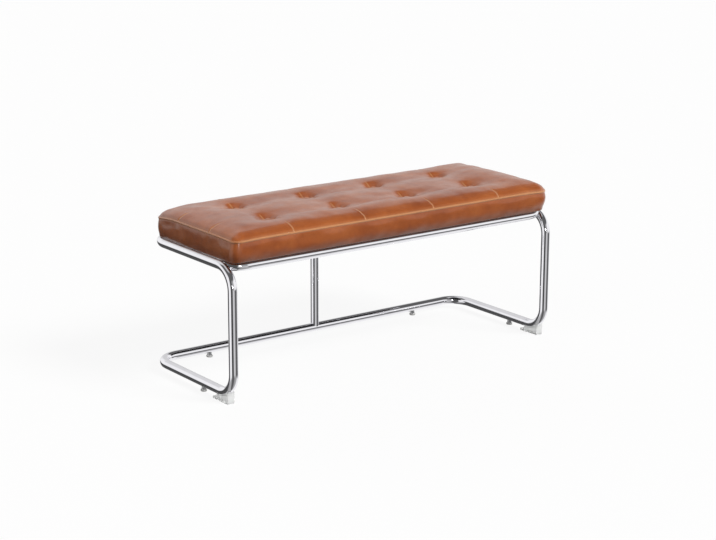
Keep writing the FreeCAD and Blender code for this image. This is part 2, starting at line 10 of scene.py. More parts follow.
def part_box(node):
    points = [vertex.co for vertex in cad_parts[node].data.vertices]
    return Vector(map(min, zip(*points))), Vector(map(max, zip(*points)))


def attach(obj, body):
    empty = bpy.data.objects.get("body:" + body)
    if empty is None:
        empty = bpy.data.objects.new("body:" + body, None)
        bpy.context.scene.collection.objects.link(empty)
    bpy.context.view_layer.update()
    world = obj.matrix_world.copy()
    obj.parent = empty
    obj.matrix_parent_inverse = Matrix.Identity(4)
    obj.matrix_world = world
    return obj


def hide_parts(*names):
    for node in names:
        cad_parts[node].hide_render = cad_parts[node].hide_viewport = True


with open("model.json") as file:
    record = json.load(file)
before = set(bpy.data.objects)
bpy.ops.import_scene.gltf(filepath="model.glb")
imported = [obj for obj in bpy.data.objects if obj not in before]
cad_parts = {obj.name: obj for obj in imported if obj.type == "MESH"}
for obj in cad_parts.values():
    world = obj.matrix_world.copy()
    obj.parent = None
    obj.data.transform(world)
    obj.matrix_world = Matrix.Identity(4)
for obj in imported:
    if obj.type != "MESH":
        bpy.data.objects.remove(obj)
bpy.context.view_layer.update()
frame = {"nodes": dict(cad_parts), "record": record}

NODES = frame["nodes"]

# Seat pad, in metres: its outline, seams and tufts follow the frame
COVER_LOW, COVER_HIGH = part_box("top_cover")
WELT_LOW, WELT_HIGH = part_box("border_welt")
BUTTON_LOW, BUTTON_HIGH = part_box("tuft_buttons")
PAD_END = COVER_HIGH.x
PAD_FRONT = COVER_LOW.y
PAD_BACK = COVER_HIGH.y
PAD_MIDDLE = (PAD_FRONT + PAD_BACK) / 2
PAD_HALF = (PAD_BACK - PAD_FRONT) / 2
LEFT_CORNER = 0.025
RIGHT_CORNER = 0.035
REAR_CORNER = 0.036
BORDER_SAG = 0.0018
BORDER_Z = (WELT_LOW.z + WELT_HIGH.z) / 2 - BORDER_SAG
HEM_LIFT = 0.0002
HEM_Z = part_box("boxing_band")[0].z + HEM_LIFT

# Crown: rolled shoulder, plateau and the shallow valleys between the pillows
CROWN_LIFT = 0.0045
CROWN_TOP = COVER_HIGH.z + CROWN_LIFT
SHOULDER_WIDTH = 0.030
SHOULDER_HEIGHT = 0.0178
SHOULDER_POWER = 1.8
PLATEAU_RISE = 0.0042
PLATEAU_REACH = 0.045
VALLEY_DEPTH = 0.0008
VALLEY_WIDTH = 0.028
VALLEY_AT_EDGE = 0.15
VALLEY_INSET = 0.07

# Boxing band and the hem turned under it
BAND_DRAW_IN = 0.0045
BAND_DRAW_POWER = 1.5
BAND_BULGE = 0.003
BULGE_END = 0.85
BAND_ROWS = 12
HEM_WIDTH = 0.024
HEM_SHARES = (0.12, 0.5, 1.0)

# Uneven stuffing; droops are of the left and the right corner, spans run along X or up
LEFT_BOW = 0.0015
RIGHT_BOW = 0.0075
BOW_POWER = 2.5
RIGHT_BOW_LOSS = 0.45
BOW_SPAN = (0.40, PAD_END - 0.02)
FRONT_DROOPS = (0.0025, 0.0034)
REAR_DROOPS = (0.0088, 0.0020)
DROOP_REACH = 0.06
DROOP_SPAN = (HEM_Z + 0.004, BORDER_Z - 0.012)
LEFT_OVERHANG = 0.0060
OVERHANG_SPAN = (0.45, PAD_END - 0.015)
RIGHT_FULLNESS = 0.0038
FULLNESS_SPAN = (0.36, 0.50)

# Tufts and their buttons
TUFT_COLUMNS = 4
BUTTON_RADIUS = 0.0105
BUTTON_SLACK = 0.0003
BUTTON_LIFT = 0.0028
BUTTON_EDGE = 0.0016
BUTTON_SIDES = 28
BUTTON_FOOT = 0.9
BUTTON_DOME_POWER = 0.8
BUTTON_PLEAT = 0.02
TUFT_X = np.linspace(BUTTON_LOW.x + BUTTON_RADIUS, BUTTON_HIGH.x - BUTTON_RADIUS, TUFT_COLUMNS)
TUFT_Y = (BUTTON_LOW.y + BUTTON_RADIUS, BUTTON_HIGH.y - BUTTON_RADIUS)
TUFT_DEPTH = 0.0085
TUFT_FLOOR = 0.0085
TUFT_RIM = 0.038
HOLLOW_BEFORE = 0.68
HOLLOW_BEHIND = (1.40, 1.05)
TUFT_DRAW = 0.0050
TUFT_DRAW_REACH = 0.056

# Grid of the pad and its swelling
FINE_CELL = 0.0027
COARSE_CELL = 0.006
FINE_REACH = 0.04
SWELL_FRAMES = 20
SWELL_CAP = 0.006
SWELL_FADE = (0.010, 0.050)
SOFTEN_PASSES = 14
TUFT_HOLD = 0.008
HEM_HOLD = 0.001
TOP_MARK = "top"

# Pleats round each tuft
PLEAT_SEED = 11
PLEAT_COUNT = 9
PLEAT_ZONE = 0.06
PLEAT_JITTER = 0.25
PLEAT_LENGTHS = (0.018, 0.032)
PLEAT_WEIGHTS = (0.6, 1.0)
PLEAT_START = (0.008, 0.014)
PLEAT_FADE = 0.016
PLEAT_TAIL = 0.010
PLEAT_ANGLE = 0.19
PLEAT_DEPTH = 0.0014

# Sewn darts; each layer of ripples is a height, a wavelength and a seed
SIDE_DART = (0.032, 0.060)
END_DART = (0.022, 0.050)
GROOVE_DEPTH = 0.0011
GROOVE_WIDTH = 0.0022
PUCKER_DEPTH = 0.0003
PUCKER_WIDTH = 0.010
PUCKER_LENGTH = 0.016
CROSS_PUCKER_SEED, LENGTH_PUCKER_SEED = 3, 4
TOP_RIPPLES = ((0.0005, 0.085, 5), (0.00012, 0.03, 6))
BAND_RIPPLES = ((0.0011, 0.12, 8), (0.0004, 0.04, 9))
RIPPLE_FADE = (0.0, 0.02)
SEAM_FADE = (0.002, 0.02)
HEM_FADE = 0.012

# Shares of paint in the leather: pale paint on raised lines, partly edge wear and partly painted highlight, and
# dark painted shade
RIM_WEAR_AND_HIGHLIGHT = 0.30
SEAM_WEAR_AND_HIGHLIGHT = 0.8
BOWL_WEAR_AND_HIGHLIGHT = 0.7
# Painted shade: darker in the tuft pits, in the pleats and at the hem
PIT_SHADE = 0.40
FOLD_SHADE = 0.22
HEM_SHADE = 0.55
MOST_SHADE = 0.85
RIM_WIDTH = 0.004
SEAM_LINE = 0.0016
SEAM_CLEAR = (0.010, 0.024)
BOWL_LINE = 0.0018
BOWL_SPAN = (0.030, 0.046)
PIT_RADIUS = 0.010
PIT_WIDTH = 0.003
HEM_SHADE_RISE = 0.03

# Welt, thread, twine and lining
WELT_RADIUS = 0.0032
WELT_INSET = 0.0006
WELT_STEP = 0.004
WELT_SIDES = 14
WELT_WOBBLE = 0.03
WOBBLE_LENGTH, WOBBLE_SEED = 0.02, 21
# Painted highlight on the welt's rounded top, with less of it on the shaded left end
WELT_HIGHLIGHT = 0.66
LEFT_WELT_HIGHLIGHT_LOSS = 0.30
LEFT_WELT_SPAN = (PAD_END - 0.03, PAD_END - 0.006)
SEAM_MARGIN = 0.0045
SIDE_SEAM = 0.040
END_SEAM = 0.022
TUFT_SEAM = (0.0115, 0.038)
BOW_AT_TUFTS = 0.8
STITCH_LENGTH = 0.0042
STITCH_GAP = 0.0010
THREAD_RADIUS = 0.00062
TWINE_RADIUS = 0.00085
TWINE_KNOT = 1.6
KNOT_HEIGHT = 0.001
LINING_GRID = (91, 37)
LINING_SAG = 0.0008
LINING_RIPPLES = ((0.0005, 0.14, 31),)
LINING_TIGHT = (0.05, 0.15)

# Stage: what glossy surfaces see of the studio, as compass angles in degrees with grey values
STEEP_RING = (
    (-180, 0.50), (-160, 0.12), (-115, 0.12), (-100, 0.35), (-48, 0.45), (-36, 0.95),
    (40, 1.0), (52, 0.90), (58, 0.10), (140, 0.08), (150, 0.40), (180, 0.50))
LOW_RING = (
    (-180, 1.0), (-166, 1.0), (-160, 0.07), (-122, 0.07), (-114, 0.62), (-78, 0.66), (-70, 0.13), (-14, 0.13),
    (-4, 0.90), (50, 0.85), (80, 0.85), (92, 0.07), (138, 0.07), (148, 1.0), (180, 1.0))
LEVEL_RING = (
    (-180, 1.0), (-166, 1.0), (-160, 0.10), (-122, 0.10), (-114, 0.40), (-80, 0.40),
    (-72, 1.0), (20, 1.0), (40, 0.70), (66, 0.70), (85, 1.0), (180, 1.0))
SKY_RING = ((-180, 0.12), (50, 0.12), (58, 0.75), (124, 0.75), (140, 0.12), (180, 0.12))
ZENITH = 0.60
STEEP_TO_LOW = (-0.50, -0.34)
LOW_TO_LEVEL = (-0.14, -0.02)
LEVEL_TO_SKY = (0.42, 0.60)
SKY_TO_ZENITH = (0.88, 0.96)
AMBIENT = 0.20
FLOOR_HALF = 40.0
FLOOR_GREY = 0.28
FLOOR_GLOW = 0.90
LAMP_AIM = (0, 0, 0.4)
SUN_DISTANCE = 4.0

# Photograph's camera
CAMERA_PLACE = (-3.0032, -4.0877, 1.5785)
CAMERA_AHEAD = (0.57363, 0.77820, -0.25566)
CAMERA_ROLL = 0.00286
CAMERA_LENS = 94.586
SENSOR_WIDTH = 36


# Mesh helpers

def make_piece(name, verts, faces, material):
    """A new object that rides on the bench, finished with the material it is given."""
    mesh = bpy.data.meshes.new(name)
    mesh.from_pydata([tuple(v) for v in verts], [], faces)
    mesh.polygons.foreach_set("use_smooth", [True] * len(mesh.polygons))
    piece = bpy.data.objects.new(name, mesh)
    bpy.context.scene.collection.objects.link(piece)
    piece.data.materials.append(material)
    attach(piece, "root")
    return piece


def coordinates(mesh):
    flat = np.zeros(len(mesh.vertices) * 3, np.float32)
    mesh.vertices.foreach_get("co", flat)
    return flat.reshape(-1, 3).astype(float)


def vertex_normals(mesh):
    flat = np.zeros(len(mesh.vertices) * 3, np.float32)
    mesh.vertex_normals.foreach_get("vector", flat)
    return flat.reshape(-1, 3).astype(float)


def set_coordinates(mesh, points):
    mesh.vertices.foreach_set("co", points.astype(np.float32).ravel())
    mesh.update()


def set_attribute(mesh, name, values):
    found = mesh.attributes.get(name) or mesh.attributes.new(name, "FLOAT", "POINT")
    found.data.foreach_set("value", np.asarray(values, np.float32))


def get_attribute(mesh, name):
    values = np.zeros(len(mesh.vertices), np.float32)
    mesh.attributes[name].data.foreach_get("value", values)
    return values.astype(float)


def bake_modifiers(piece):
    """The piece's mesh with its modifiers worked in."""
    graph = bpy.context.evaluated_depsgraph_get()
    baked = bpy.data.meshes.new_from_object(piece.evaluated_get(graph), depsgraph=graph)
    piece.modifiers.clear()
    piece.data = baked


def waves(points, wavelength, seed, count=9):
    """Smooth uneven ripples between about -1 and 1, the same on each run."""
    dice = np.random.RandomState(seed)
    total = np.zeros(len(points))
    for _ in range(count):
        heading = dice.normal(size=3)
        heading /= np.linalg.norm(heading)
        pace = 2 * math.pi / (wavelength * dice.uniform(0.7, 1.5))
        total += np.sin(points @ heading * pace + dice.uniform(0, 2 * math.pi))
    return total / math.sqrt(count)


def ripples(points, layers):
    """Unevenness from several layers of waves."""
    return sum(height * waves(points, wavelength, seed) for height, wavelength, seed in layers)


def bell(distance, width):
    return np.exp(-(distance / width) ** 2)


def ease(value, low, high):
    """Goes smoothly from 0 at low to 1 at high."""
    share = np.clip((value - low) / (high - low), 0, 1)
    return share * share * (3 - 2 * share)


def quads(*corners):
    """Four-sided faces from four arrays of vertex numbers."""
    return np.stack(corners, -1).reshape(-1, 4).tolist()


def ring_faces(rows, sides):
    """Faces between rows of points, each row a closed ring."""
    index = np.arange(rows * sides).reshape(-1, sides)
    over = np.roll(index, -1, 1)
    return quads(index[:-1], over[:-1], over[1:], index[1:])


def merged(parts):
    """One vertex and face list from several."""
    verts, faces, start = [], [], 0
    for points, polygons in parts:
        verts.append(points)
        faces += [[i + start for i in polygon] for polygon in polygons]
        start += len(points)
    return np.concatenate(verts), faces


# Materials

class Nodes:
    """Builds one material's node tree."""

    def __init__(self, name):
        self.material = bpy.data.materials.new(name)
        self.material.use_nodes = True
        self.tree = self.material.node_tree
        self.shader = self.tree.nodes["Principled BSDF"]
        self.place = self.add("ShaderNodeTexCoord").outputs["Object"]

    def add(self, kind, settings=None, **inputs):
        node = self.tree.nodes.new(kind)
        for key, value in (settings or {}).items():
            setattr(node, key, value)
        for key, value in inputs.items():
            self.feed(node, key.replace("_", " "), value)
        return node

    def feed(self, node, socket, value):
        target = node.inputs[socket]
        if isinstance(value, bpy.types.NodeSocket):
            self.tree.links.new(value, target)
        else:
            target.default_value = value

    def finish(self, **inputs):
        for key, value in inputs.items():
            self.feed(self.shader, key.replace("_", " "), value)
        return self.material

    def noise(self, scale, detail=3.0, roughness=0.55, distortion=0.0, place=None):
        node = self.add("ShaderNodeTexNoise", Scale=scale, Detail=detail, Roughness=roughness,
                        Distortion=distortion, Vector=place or self.place)
        return node.outputs["Fac"]

    def cells(self, scale):
        node = self.add("ShaderNodeTexVoronoi", {"feature": "F1"}, Scale=scale, Vector=self.place)
        return node.outputs["Distance"]

    def ramp(self, value, stops):
        node = self.add("ShaderNodeValToRGB", Fac=value)
        points = node.color_ramp.elements
        for _ in stops[2:]:
            points.new(0.5)
        for point, (position, colour) in zip(points, stops):
            point.position = position
            point.color = (*colour, 1)
        return node.outputs["Color"]

    def spread(self, value, low, high):
        """Stretches the usual range of a noise over the range asked for."""
        node = self.add("ShaderNodeMapRange", Value=value)
        node.inputs["From Min"].default_value = 0.3
        node.inputs["From Max"].default_value = 0.7
        node.inputs["To Min"].default_value = low
        node.inputs["To Max"].default_value = high
        return node.outputs["Result"]

    def mix(self, share, first, second, blend="MIX"):
        node = self.add("ShaderNodeMix", {"data_type": "RGBA", "blend_type": blend})
        for socket, value in ((0, share), (6, first), (7, second)):
            if isinstance(value, bpy.types.NodeSocket):
                self.tree.links.new(value, node.inputs[socket])
            else:
                node.inputs[socket].default_value = value
        return node.outputs[2]

    def attribute(self, name):
        return self.add("ShaderNodeAttribute", {"attribute_name": name}).outputs["Fac"]

    def bump(self, height, depth, strength, before=None):
        node = self.add("ShaderNodeBump", Height=height, Distance=depth, Strength=strength)
        if before is not None:
            self.tree.links.new(before, node.inputs["Normal"])
        return node.outputs["Normal"]


def leather_material():
    n = Nodes("cognac_leather")
    cloudy = n.ramp(n.noise(8.0, 5.0, 0.6, 0.4), [
        (0.30, (0.310, 0.070, 0.013)),
        (0.50, (0.410, 0.103, 0.021)),
        (0.72, (0.490, 0.140, 0.033)),
    ])
    blotches = n.ramp(n.noise(42.0, 4.0, 0.65), [(0.35, (0.80, 0.76, 0.72)), (0.65, (1.0, 1.0, 1.0))])
    tone = n.mix(0.55, cloudy, blotches, "MULTIPLY")
    pores = n.cells(820.0)
    tone = n.mix(0.25, tone, n.ramp(pores, [(0.0, (0.5, 0.45, 0.4)), (0.35, (1, 1, 1))]), "MULTIPLY")
    # Pale paint: partly edge wear, partly painted highlight on the border, seams, welt and button tops
    tone = n.mix(n.attribute("wear_and_highlight"), tone, (0.72, 0.36, 0.165, 1))
    # Painted shade: darker in the tuft pits, in the pleats, at the hem and round the buttons' base
    tone = n.mix(n.attribute("shade"), tone, (0.085, 0.020, 0.006, 1))
    creases = n.noise(150.0, 4.0, 0.6, 1.6)
    normal = n.bump(n.noise(34.0, 3.0, 0.5, 0.8), 0.0012, 0.14)
    normal = n.bump(creases, 0.0006, 0.16, normal)
    normal = n.bump(pores, 0.0002, 0.4, normal)
    return n.finish(Base_Color=tone, Roughness=n.spread(n.noise(26.0, 4.0), 0.30, 0.42), Normal=normal,
                    Coat_Weight=0.5, Coat_Roughness=0.15)


def chrome_material():
    n = Nodes("chrome_plating")
    film = n.noise(30.0, 5.0, 0.6)
    tone = n.ramp(film, [(0.35, (0.83, 0.825, 0.86)), (0.65, (0.88, 0.872, 0.905))])
    normal = n.bump(n.noise(420.0, 2.0), 0.00003, 0.08)
    return n.finish(Base_Color=tone, Metallic=1.0, Roughness=n.spread(film, 0.035, 0.075), Normal=normal)


def steel_material():
    n = Nodes("zinc_steel")
    stretched = n.add("ShaderNodeMapping", Vector=n.place, Scale=(900.0, 900.0, 60.0)).outputs["Vector"]
    brushed = n.noise(1.0, 3.0, 0.6, place=stretched)
    tone = n.ramp(n.noise(120.0, 4.0), [(0.3, (0.34, 0.345, 0.36)), (0.7, (0.55, 0.555, 0.56))])
    normal = n.bump(brushed, 0.0001, 0.35)
    return n.finish(Base_Color=tone, Metallic=1.0, Roughness=n.spread(brushed, 0.28, 0.46), Normal=normal)


def foot_material():
    n = Nodes("milky_plastic")
    tone = n.ramp(n.noise(60.0, 3.0), [(0.3, (0.92, 0.925, 0.92)), (0.7, (0.96, 0.965, 0.96))])
    normal = n.bump(n.noise(420.0, 2.0), 0.00004, 0.05)
    return n.finish(Base_Color=tone, Roughness=n.spread(n.noise(90.0), 0.54, 0.62), Normal=normal,
                    Transmission_Weight=0.55, IOR=1.07)


def glide_material():
    n = Nodes("glide_plastic")
    tone = n.ramp(n.noise(140.0, 3.0), [(0.3, (0.80, 0.80, 0.78)), (0.7, (0.88, 0.88, 0.86))])
    normal = n.bump(n.noise(900.0, 2.0), 0.0001, 0.4)
    return n.finish(Base_Color=tone, Roughness=n.spread(n.noise(160.0), 0.42, 0.6), Normal=normal)


def plywood_material():
    n = Nodes("plywood_board")
    grain = n.add("ShaderNodeMapping", Vector=n.place, Scale=(3.0, 60.0, 500.0)).outputs["Vector"]
    tone = n.ramp(n.noise(1.0, 6.0, 0.6, 1.2, grain), [
        (0.30, (0.44, 0.29, 0.16)),
        (0.50, (0.60, 0.43, 0.26)),
        (0.70, (0.70, 0.54, 0.36)),
    ])
    normal = n.bump(n.noise(1.0, 4.0, 0.6, 0.4, grain), 0.0003, 0.4)
    return n.finish(Base_Color=tone, Roughness=n.spread(n.noise(40.0), 0.62, 0.8), Normal=normal)


def lining_material():
    n = Nodes("lining_cloth")
    fibres = n.noise(900.0, 3.0, 0.7, 2.0)
    dots = n.cells(480.0)
    tone = n.ramp(fibres, [(0.3, (0.035, 0.035, 0.037)), (0.7, (0.075, 0.075, 0.078))])
    normal = n.bump(fibres, 0.0002, 0.5, n.bump(dots, 0.0003, 0.5))
    return n.finish(Base_Color=tone, Roughness=n.spread(fibres, 0.8, 0.95), Normal=normal)


def thread_material(name, light, dark):
    n = Nodes(name)
    twist = n.noise(1600.0, 2.0, 0.5, 1.0)
    tone = n.ramp(twist, [(0.3, dark), (0.7, light)])
    return n.finish(Base_Color=tone, Roughness=n.spread(twist, 0.5, 0.7), Normal=n.bump(twist, 0.0002, 0.5))


LEATHER = leather_material()
CHROME = chrome_material()
STEEL = steel_material()
THREAD = thread_material("seam_thread", (0.66, 0.36, 0.17), (0.48, 0.23, 0.09))
TWINE = thread_material("waxed_twine", (0.52, 0.42, 0.28), (0.34, 0.26, 0.16))
SLOT_MATERIALS = {
    "chrome_tube": CHROME,
    "zinc_steel": STEEL,
    "clear_foot": foot_material(),
    "glide_pad": glide_material(),
    "plywood": plywood_material(),
}


def dress_nodes():
    """Gives every rigid node of the frame the full material of its slot."""
    for row in frame["record"]["subparts"]:
        material = SLOT_MATERIALS.get(row["material_slot"])
        if material:
            mesh = NODES[row["node"]].data
            mesh.materials.clear()
            mesh.materials.append(material)


# Seat cushion

def grid_lines(low, high, tufts):
    """Lines across the pad, closer together round the tufts."""
    knots = [low]
    for place in tufts:
        knots += [place - FINE_REACH, place, place + FINE_REACH]
    knots.append(high)
    lines = [low]
    for start, end in zip(knots, knots[1:]):
        near = any(abs((start + end) / 2 - place) < FINE_REACH for place in tufts)
        count = max(round((end - start) / (FINE_CELL if near else COARSE_CELL)), 1)
        lines += list(np.linspace(start, end, count + 1)[1:])
    return np.array(lines)


def corner_radius(x, y):
    return np.where(y < PAD_MIDDLE, np.where(x < 0, LEFT_CORNER, RIGHT_CORNER), REAR_CORNER)


def round_corners(x, y, inset=0.0):
    """Moves points of the pad's rectangle into its rounded outline; also gives their depth inside it."""
    half = np.array([PAD_END, PAD_HALF]) - inset
    radius = corner_radius(x, y)[:, None] - inset / 2
    place = np.stack([x, y - PAD_MIDDLE], 1)
    signs, across = np.sign(place), np.abs(place)
    beyond = np.clip((across - half + radius) / radius, 0, 1)
    turn = beyond * np.sqrt(1 - beyond[:, ::-1] ** 2 / 2)
    placed = np.where(beyond.min(1, keepdims=True) > 0, half - radius + radius * turn, across)
    gap = half - placed
    corner = np.maximum(radius - gap, 0)
    depth = np.where(corner.min(1) > 0, radius[:, 0] - np.hypot(corner[:, 0], corner[:, 1]), gap.min(1))
    return placed[:, 0] * signs[:, 0], placed[:, 1] * signs[:, 1] + PAD_MIDDLE, depth


def crown_height(depth):
    """Height over the border, by the depth inside the outline."""
    roll = np.clip(1 - depth / SHOULDER_WIDTH, 0, 1)
    shoulder = SHOULDER_HEIGHT * (1 - roll ** SHOULDER_POWER) ** (1 / SHOULDER_POWER)
    plateau = 1 - np.exp(-np.clip(depth - SHOULDER_WIDTH / 2, 0, 1) / PLATEAU_REACH)
    return shoulder + PLATEAU_RISE * plateau


def tuft_range(x, y):
    """Distance to the nearest tuft, the direction from it, and which one it is."""
    places = [(tx, ty) for tx in TUFT_X for ty in TUFT_Y]
    ranges = np.stack([np.hypot(x - tx, y - ty) for tx, ty in places], 1)
    nearest = ranges.argmin(1)
    centres = np.array(places)[nearest]
    return ranges.min(1), np.arctan2(y - centres[:, 1], x - centres[:, 0]), nearest


def tuft_hollow(x, y):
    """Distance to the nearest tuft, stretched so that its hollow is longer behind the button than before it."""
    ranges = []
    for ty, behind in zip(TUFT_Y, HOLLOW_BEHIND):
        along = (y - ty) / np.where(y > ty, behind, HOLLOW_BEFORE)
        ranges += [np.hypot(x - tx, along) for tx in TUFT_X]
    return np.min(ranges, axis=0)


def seam_distances(x, y):
    """Distance to the nearest line of tufts across the pad, and to the nearest one along it."""
    cross = np.abs(x[:, None] - np.array(TUFT_X)).min(1)
    length = np.abs(y[:, None] - np.array(TUFT_Y)).min(1)
    return cross, length


def soft_top(x, y, depth):
    """Height of the padded top before it swells: rolled shoulder, valleys and pulled tufts."""
    cross, length = seam_distances(x, y)
    fade = VALLEY_AT_EDGE + (1 - VALLEY_AT_EDGE) * ease(depth, 0.0, VALLEY_INSET)
    valleys = VALLEY_DEPTH * fade * (bell(cross, VALLEY_WIDTH) + bell(length, VALLEY_WIDTH))
    reach = tuft_hollow(x, y)
    pull = TUFT_DEPTH * (1 - ease(reach, TUFT_FLOOR, TUFT_RIM)) + TUFT_DRAW * bell(reach, TUFT_DRAW_REACH)
    return BORDER_Z + crown_height(depth) - valleys - pull


def draw_share(fall):
    """How far the boxing band is drawn in, from 0 at the border to 1 at the hem."""
    return (1 - np.cos(fall * math.pi / 2)) ** BAND_DRAW_POWER


def cushion_shell():
    """Closed leather form: top grid, boxing band, turned hem and underside."""
    xs = grid_lines(-PAD_END, PAD_END, TUFT_X)
    ys = grid_lines(PAD_FRONT, PAD_BACK, TUFT_Y)
    flat_x, flat_y = (a.ravel() for a in np.meshgrid(xs, ys))
    x, y, depth = round_corners(flat_x, flat_y)
    verts = [np.stack([x, y, soft_top(x, y, depth)], 1)]
    columns, rows = len(xs), len(ys)
    index = np.arange(columns * rows).reshape(rows, columns)
    faces = quads(index[:-1, :-1], index[:-1, 1:], index[1:, 1:], index[1:, :-1])
    loop = np.concatenate([index[0, :-1], index[:-1, -1], index[-1, :0:-1], index[:0:-1, 0]])
    rim_x, rim_y = flat_x[loop], flat_y[loop]

    def ring(inset, height):
        share_x = rim_x * (PAD_END - inset) / PAD_END
        share_y = PAD_MIDDLE + (rim_y - PAD_MIDDLE) * (PAD_HALF - inset) / PAD_HALF
        ring_x, ring_y, _ = round_corners(share_x, share_y, inset)
        return np.stack([ring_x, ring_y, np.full(len(ring_x), height)], 1)

    rings = []
    for fall in np.arange(1, BAND_ROWS + 1) / BAND_ROWS:
        draw_in = BAND_DRAW_IN * draw_share(fall)
        bulge = BAND_BULGE * math.sin(math.pi * min(fall / BULGE_END, 1))
        rings.append(ring(draw_in - bulge, BORDER_Z - (BORDER_Z - HEM_Z) * fall))
    rings += [ring(BAND_DRAW_IN + HEM_WIDTH * share, HEM_Z) for share in HEM_SHARES]
    before = loop
    start = columns * rows
    for points in rings:
        verts.append(points)
        here = np.arange(start, start + len(loop))
        start += len(loop)
        faces += quads(before, here, np.roll(here, -1), np.roll(before, -1))
        before = here
    front = before[:columns]
    right = before[columns - 1:columns + rows - 1]
    back = before[columns + rows - 2:2 * columns + rows - 2][::-1]
    left = np.append(before[2 * columns + rows - 3:], before[0])[::-1]
    faces += quads(front[1:-2], back[1:-2], back[2:-1], front[2:-1])
    faces.append([front[1], *left, back[1]])
    faces.append([front[-2], back[-2], *right[::-1]])
    return np.concatenate(verts), faces, loop, (rows, columns)


def soften(moved, grid):
    """Evens out the swelling of the top grid, so that the leather lies smooth between its tufts."""
    count = grid[0] * grid[1]
    top = moved[:count].reshape(*grid, 3).copy()
    for _ in range(SOFTEN_PASSES):
        for axis in (0, 1):
            rows = np.moveaxis(top, axis, 0)
            rows[1:-1] = (rows[:-2] + 2 * rows[1:-1] + rows[2:]) / 4
    moved[:count] = top.reshape(-1, 3)
    return moved


def swell(cushion, pins, grid):
    """Lets pressure fill the leather between its border, its hem and the tufts."""
    group = cushion.vertex_groups.new(name="held")
    group.add([int(i) for i in pins], 1.0, "REPLACE")
    start = coordinates(cushion.data)
    cloth = cushion.modifiers.new("swell", "CLOTH")
    cloth.settings.quality = 5
    cloth.settings.mass = 0.35
    cloth.settings.tension_stiffness = 22
    cloth.settings.compression_stiffness = 16
    cloth.settings.shear_stiffness = 9
    cloth.settings.bending_stiffness = 1.2
    cloth.settings.air_damping = 4
    cloth.settings.use_pressure = True
    cloth.settings.uniform_pressure_force = 4
    cloth.settings.effector_weights.gravity = 0
    cloth.settings.vertex_group_mass = group.name
    cloth.collision_settings.use_collision = False
    scene = bpy.context.scene
    for number in range(1, SWELL_FRAMES + 1):
        scene.frame_set(number)
    bake_modifiers(cushion)
    scene.frame_set(1)
    moved = coordinates(cushion.data) - start
    size = np.linalg.norm(moved, axis=1, keepdims=True)
    moved = soften(moved * np.minimum(1, SWELL_CAP / np.maximum(size, 1e-9)), grid)
    reach, _, _ = tuft_range(start[:, 0], start[:, 1])
    moved *= np.where(start[:, 2] > BORDER_Z, ease(reach, *SWELL_FADE), 1)[:, None]
    set_coordinates(cushion.data, start + moved)


def fill_out(points):
    """Uneven stuffing: bowed ends, drooping corners, a left band that hangs out and a fuller right end."""
    x, y, z = points.T
    left = x < 0
    share = np.clip(np.abs(y - PAD_MIDDLE) / PAD_HALF, 0, 1)
    sides = share ** BOW_POWER
    bow = np.where(left, -LEFT_BOW * (1 - sides), RIGHT_BOW * (1 - RIGHT_BOW_LOSS * sides))
    corner = np.hypot(PAD_END - np.abs(x), PAD_HALF * (1 - share))
    droop = np.where(y < PAD_MIDDLE, np.where(left, *FRONT_DROOPS), np.where(left, *REAR_DROOPS))
    fall = np.clip((BORDER_Z - z) / (BORDER_Z - HEM_Z), 0, 1)
    skirt = ease(-x, *OVERHANG_SPAN) * draw_share(fall)
    crown = np.clip((z - BORDER_Z) / (CROWN_TOP - BORDER_Z), 0, 1)
    moved = points.copy()
    moved[:, 0] += bow * ease(np.abs(x), *BOW_SPAN)
    moved[:, 0] -= LEFT_OVERHANG * skirt
    moved[:, 2] -= droop * bell(corner, DROOP_REACH) * ease(z, *DROOP_SPAN)
    moved[:, 2] += RIGHT_FULLNESS * crown * ease(x, *FULLNESS_SPAN)
    return moved


def settle_height(points):
    """Brings the swollen crown back to the pad's real height."""
    above = points[:, 2] > BORDER_Z
    heights = points[above, 2]
    points[above, 2] = BORDER_Z + (heights - BORDER_Z) * (CROWN_TOP - BORDER_Z) / (heights.max() - BORDER_Z)
    return points


def pleats(reach, heading, nearest):
    """Folds that run out from each tuft, deepest beside its button."""
    dice = np.random.RandomState(PLEAT_SEED)
    folds = np.zeros(len(reach))
    for tuft in range(len(TUFT_X) * len(TUFT_Y)):
        here = (nearest == tuft) & (reach < PLEAT_ZONE)
        for fold in range(PLEAT_COUNT):
            along = 2 * math.pi * (fold + dice.uniform(-PLEAT_JITTER, PLEAT_JITTER)) / PLEAT_COUNT
            length = dice.uniform(*PLEAT_LENGTHS)
            weight = dice.uniform(*PLEAT_WEIGHTS)
            turn = np.abs((heading[here] - along + math.pi) % (2 * math.pi) - math.pi)
            tail = 1 - ease(reach[here], PLEAT_FADE, length + PLEAT_TAIL)
            grip = ease(reach[here], *PLEAT_START) * tail
            folds[here] += weight * grip * bell(turn, PLEAT_ANGLE)
    return folds


